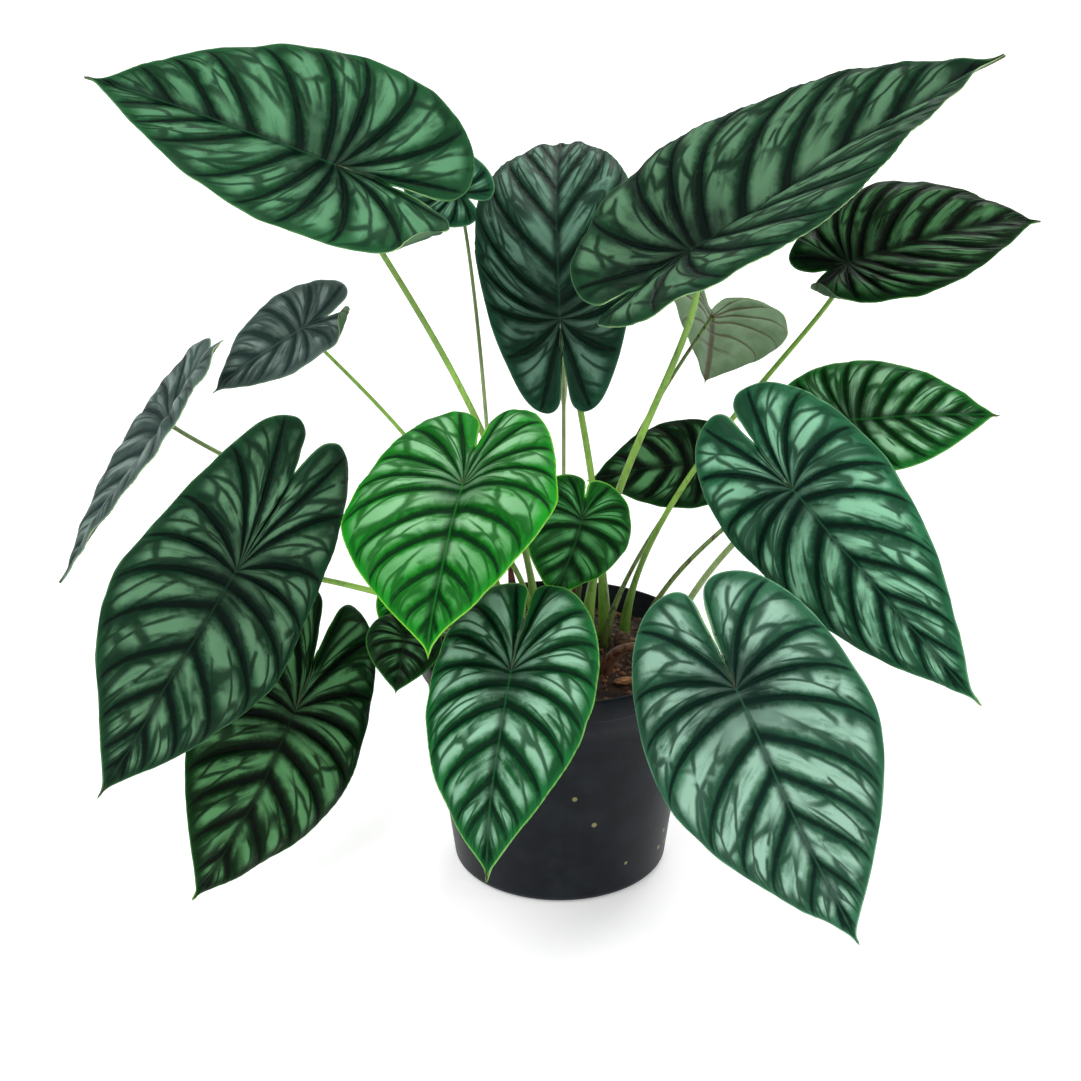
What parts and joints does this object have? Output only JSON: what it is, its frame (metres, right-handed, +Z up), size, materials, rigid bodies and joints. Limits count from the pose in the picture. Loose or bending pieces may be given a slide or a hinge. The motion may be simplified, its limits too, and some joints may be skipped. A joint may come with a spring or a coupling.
{
  "type": "potted alocasia",
  "caption": "Tuberous foliage plant in a tapered nursery pot, with long-stalked shield-shaped leaves that are quilted between dark veins.",
  "frame": {"origin": "centre of the pot's flat underside", "axes": "+Z up out of the pot's mouth, +X to the plant's right as seen from its front, -Y towards the front"},
  "size_m": [0.5065, 0.3518, 0.4374],
  "materials": {
    "pot": "satin black with dust and water marks",
    "soil": "loose dark potting mix",
    "corm": "ringed corm skin",
    "sheath": "papery dark maroon",
    "bark": "rough bark",
    "new_leaf": "smooth, pale",
    "stalk": "smooth, lightly mottled",
    "blade_green": "leathery, quilted between dark veins",
    "blade_teal": "leathery, silvery between dark veins",
    "blade_dark": "leathery, near-black veins",
    "blade_bright": "leathery, lime margin",
    "blade_pale": "matt pale underside"
  },
  "bodies": {
    "root": {"pot": "pot", "soil": "soil", "corm_left": "corm", "corm_centre": "corm", "corm_right": "corm", "sheath_tall": "sheath", "sheath_left": "sheath", "sheath_right": "sheath", "sheath_rear": "sheath", "sheath_front": "sheath", "bark_1": "bark", "bark_2": "bark", "bark_3": "bark", "bark_4": "bark", "bark_5": "bark", "bark_6": "bark", "blade_left_high": "blade_green", "petiole_left_high": "stalk", "blade_centre_high": "blade_teal", "petiole_centre_high": "stalk", "blade_right_high": "blade_green", "petiole_right_high": "stalk", "blade_right_rear": "blade_green", "petiole_right_rear": "stalk", "blade_rear_young": "blade_pale", "petiole_rear_young": "stalk", "blade_left_far": "blade_teal", "petiole_left_far": "stalk", "blade_left_small": "blade_teal", "petiole_left_small": "stalk", "blade_left_low": "blade_green", "petiole_left_low": "stalk", "blade_left_under": "blade_dark", "petiole_left_under": "stalk", "blade_left_inner": "blade_dark", "petiole_left_inner": "stalk", "blade_centre_bright": "blade_bright", "petiole_centre_bright": "stalk", "blade_centre_small": "blade_bright", "petiole_centre_small": "stalk", "blade_front_low": "blade_green", "petiole_front_low": "stalk", "blade_right_low": "blade_teal", "petiole_right_low": "stalk", "blade_right_mid": "blade_teal", "petiole_right_mid": "stalk", "blade_right_upper": "blade_green", "petiole_right_upper": "stalk", "blade_inner_dark": "blade_dark", "petiole_inner_dark": "stalk", "blade_rear_left": "blade_teal", "petiole_rear_left": "stalk", "blade_left_sprout": "blade_bright", "petiole_left_sprout": "stalk", "spear": "new_leaf", "spear_stalk": "stalk"}
  },
  "joints": []
}
